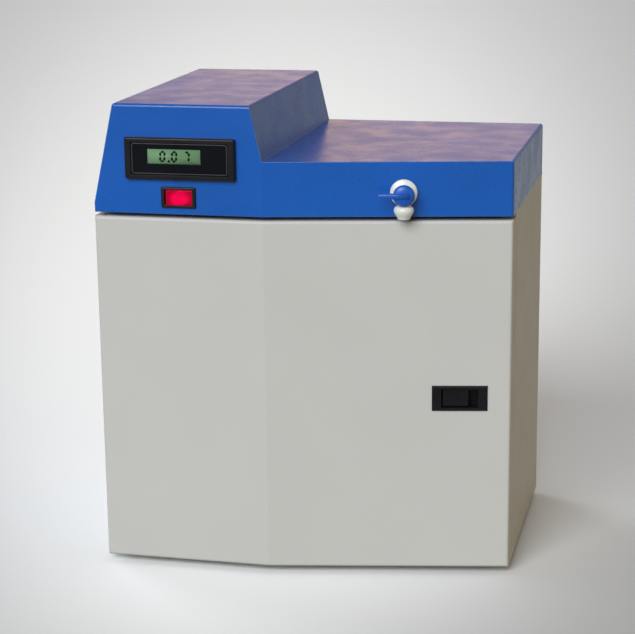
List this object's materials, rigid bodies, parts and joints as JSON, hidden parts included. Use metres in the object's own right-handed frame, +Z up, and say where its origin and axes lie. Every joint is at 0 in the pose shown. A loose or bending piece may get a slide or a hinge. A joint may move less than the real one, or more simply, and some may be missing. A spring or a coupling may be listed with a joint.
{
  "type": "bench water purifier",
  "caption": "Cabinet water purifier with hinged front door, folded head, panel meter, lit rocker switch and lever tap.",
  "frame": {"origin": "centre of the bounding box in plan, at the feet's resting level", "axes": "+Z up, the front with the door faces -Y, +X to the right seen from the front"},
  "size_m": [0.35, 0.276, 0.4065],
  "materials": {
    "cabinet_paint": "satin powder coat, light grey",
    "head_paint": "gloss enamel, blue",
    "latch_plastic": "black, fine grain",
    "meter_plastic": "black",
    "faceplate_plastic": "dark blue-black film",
    "display_glass": "clear window",
    "display_green": "grey-green liquid crystal",
    "rocker_red": "red translucent, lit",
    "switch_plastic": "black",
    "tap_white": "white",
    "tap_blue": "blue",
    "zinc_steel": "zinc plated",
    "feet_rubber": "black",
    "filter_white": "white",
    "carbon_plastic": "pale blue-white",
    "resin_shell": "clear plastic",
    "resin_beads": "amber beads",
    "tube_plastic": "white hose",
    "fitting_plastic": "grey-white",
    "motor_paint": "black",
    "supply_metal": "bare",
    "inlet_plastic": "black"
  },
  "bodies": {
    "cabinet": {"rubber_feet": "feet_rubber", "base_pan": "cabinet_paint", "left_side": "cabinet_paint", "right_side": "cabinet_paint", "rear_panel": "cabinet_paint", "top_deck": "cabinet_paint", "panel_screws": "zinc_steel", "pivot_brackets": "zinc_steel", "pivot_pins": "zinc_steel", "bracket_screws": "zinc_steel", "strike_plate": "zinc_steel", "head_cover": "head_paint", "meter_bezel": "meter_plastic", "meter_faceplate": "faceplate_plastic", "display_glass": "display_glass", "display_module": "display_green", "meter_clamps": "meter_plastic", "switch_housing": "switch_plastic", "switch_blades": "zinc_steel", "tap_spout": "tap_white", "tap_washer": "feet_rubber", "tap_nut": "tap_white", "sediment_cartridge": "filter_white", "carbon_cartridge": "carbon_plastic", "membrane_housing": "filter_white", "deioniser_shell": "resin_shell", "resin_bed": "resin_beads", "cartridge_plate": "zinc_steel", "cartridge_clips": "fitting_plastic", "valve_body": "fitting_plastic", "valve_coil": "motor_paint", "valve_bracket": "zinc_steel", "pump_head": "fitting_plastic", "pump_motor": "motor_paint", "pump_shelf": "zinc_steel", "pump_bushes": "feet_rubber", "power_supply": "supply_metal", "conductivity_cell": "fitting_plastic", "deck_grommet": "feet_rubber", "inlet_union": "fitting_plastic", "drain_union": "fitting_plastic", "mains_inlet": "inlet_plastic", "tube_inlet": "tube_plastic", "tube_valve_to_sediment": "tube_plastic", "tube_sediment_to_carbon": "tube_plastic", "tube_carbon_to_pump": "tube_plastic", "tube_pump_to_membrane": "tube_plastic", "tube_membrane_to_deioniser": "tube_plastic", "tube_deioniser_to_cell": "tube_plastic", "tube_drain": "tube_plastic", "tube_product": "tube_plastic"},
    "door": {"front_door": "cabinet_paint", "door_bushes": "fitting_plastic", "latch_frame": "latch_plastic"},
    "paddle": {"latch_paddle": "latch_plastic"},
    "bolt": {"latch_bolt": "zinc_steel"},
    "switch_rocker": {"rocker": "rocker_red"},
    "tap_handle": {"tap_lever": "tap_blue"}
  },
  "joints": [
    {"name": "door_hinge", "type": "hinge", "parent": "cabinet", "child": "door", "pos_m": [-0.168, -0.126, 0.1585], "axis": [0, 0, 1], "range_deg": [-105, 0]},
    {"name": "latch_pull", "type": "hinge", "parent": "door", "child": "paddle", "pos_m": [0.12621, -0.09968, 0.1585], "axis": [0, 0, 1], "range_deg": [-25, 0]},
    {"name": "bolt_slide", "type": "slide", "parent": "door", "child": "bolt", "axis": [-0.9825, -0.1863, 0], "range_m": [0, 0.005], "stiffness_N_per_m": 150},
    {"name": "rocker_tilt", "type": "hinge", "parent": "cabinet", "child": "switch_rocker", "pos_m": [-0.1001, -0.1285, 0.3289], "axis": [0, 0, 1], "range_deg": [-16, 0]},
    {"name": "tap_turn", "type": "hinge", "parent": "cabinet", "child": "tap_handle", "pos_m": [0.08944, -0.12701, 0.3349], "axis": [-0.1863, 0.9825, 0], "range_deg": [0, 90]}
  ],
  "couplings": [
    {"joint": "latch_pull", "follows": "bolt_slide", "rad_per_m": -87.179}
  ]
}
